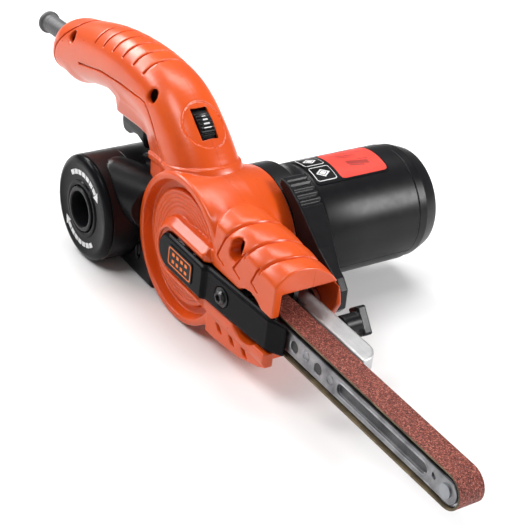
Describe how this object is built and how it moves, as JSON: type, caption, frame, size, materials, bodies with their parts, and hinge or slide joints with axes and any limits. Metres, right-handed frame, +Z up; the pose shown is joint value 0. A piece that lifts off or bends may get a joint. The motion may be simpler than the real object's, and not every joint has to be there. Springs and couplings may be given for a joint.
{
  "type": "handheld narrow belt sander",
  "caption": "Corded narrow-belt power file: orange housing with grip and trigger, sideways motor, sanding arm and belt, tension lever, dust cyclone.",
  "frame": {"origin": "centre of the bounding box, on its underside", "axes": "+X along the arm towards its tip, +Y from the belt cover towards the motor, +Z up"},
  "size_m": [0.392, 0.1564, 0.112],
  "materials": {
    "orange_plastic": "fine moulded texture, satin",
    "black_plastic": "fine moulded texture, satin",
    "smoke_plastic": "semi-gloss",
    "label_film": "printed film",
    "badge_film": "printed film with a coloured border",
    "cast_aluminium": "die cast, lightly worn",
    "silver_bracket": "die cast and tumbled",
    "steel": "machined",
    "zinc_screw": "zinc plated",
    "black_screw": "black oxide",
    "abrasive_belt": "aluminium oxide grit on cloth",
    "soft_rubber": "moulded rubber",
    "lamination": "stacked lamination",
    "copper": "enamelled copper",
    "brass": "turned",
    "carbon": "pressed carbon",
    "nylon": "natural nylon",
    "circuit_board": "laminate board",
    "spring_steel": "drawn wire"
  },
  "bodies": {
    "tool_housing": {"backplate": "silver_bracket", "badge_plate": "badge_film", "belt_cover": "smoke_plastic", "brush_holders": "brass", "carbon_brushes": "carbon", "cord_clamp": "nylon", "cord_clamp_screws": "zinc_screw", "cover_screw": "zinc_screw", "cover_washer": "zinc_screw", "cyclone_chamber": "black_plastic", "cyclone_end_cap": "black_plastic", "dust_duct": "black_plastic", "end_cap_screws": "zinc_screw", "field_coils": "copper", "front_bearing": "steel", "housing_screws": "black_screw", "label_plate": "label_film", "left_housing": "orange_plastic", "motor_end_cap": "black_plastic", "motor_housing": "black_plastic", "outlet_tube": "black_plastic", "rear_bearing": "steel", "right_housing": "orange_plastic", "speed_control_board": "circuit_board", "stator": "lamination", "strain_relief": "soft_rubber", "suppression_capacitor": "nylon", "switch_body": "nylon", "tension_spring": "spring_steel", "trigger_pin": "steel"},
    "drive": {"rotor_shaft": "steel", "drive_pulley": "steel", "pulley_nut": "zinc_screw", "cooling_fan": "nylon", "armature_core": "lamination", "armature_windings": "copper", "commutator": "copper"},
    "arm": {"sanding_belt": "abrasive_belt", "sanding_arm": "cast_aluminium", "arm_screws": "zinc_screw", "roller_axle": "steel", "arm_carrier": "silver_bracket"},
    "roller": {"tip_roller": "steel"},
    "knob": {"tracking_knob": "black_plastic"},
    "lever": {"tension_lever": "black_plastic", "lever_shaft": "steel"},
    "trigger_button": {"trigger": "black_plastic"},
    "wheel": {"speed_wheel": "black_plastic"}
  },
  "joints": [
    {"name": "drive_spin", "type": "hinge", "parent": "tool_housing", "child": "drive", "pos_m": [-0.01153, -0.0494, 0.039], "axis": [0, 1, 0], "continuous": true},
    {"name": "lever_turn", "type": "hinge", "parent": "tool_housing", "child": "lever", "pos_m": [0.05147, -0.0164, 0.039], "axis": [0, 1, 0], "range_deg": [0, 50]},
    {"name": "arm_slide", "type": "slide", "parent": "tool_housing", "child": "arm", "axis": [1, 0, 0], "range_m": [-0.00508, 0], "deforming": ["tension_spring"]},
    {"name": "tip_roller_spin", "type": "hinge", "parent": "arm", "child": "roller", "pos_m": [0.18747, -0.0494, 0.039], "axis": [0, 1, 0], "continuous": true},
    {"name": "tracking_turn", "type": "hinge", "parent": "arm", "child": "knob", "pos_m": [0.07877, -0.0254, 0.0416], "axis": [0, 1, 0], "range_deg": [-90, 90]},
    {"name": "trigger_press", "type": "hinge", "parent": "tool_housing", "child": "trigger_button", "pos_m": [-0.07653, -0.041, 0.0735], "axis": [0, 1, 0], "range_deg": [0, 7], "stiffness_Nm_per_rad": 0.6, "springref_deg": -5.73},
    {"name": "speed_turn", "type": "hinge", "parent": "tool_housing", "child": "wheel", "pos_m": [-0.03473, -0.041, 0.0883], "axis": [0, 1, 0], "range_deg": [-135, 135]}
  ],
  "couplings": [
    {"joint": "arm_slide", "follows": "lever_turn", "m_per_rad": -0.0058114},
    {"joint": "tip_roller_spin", "follows": "drive_spin", "ratio": 1.125}
  ]
}
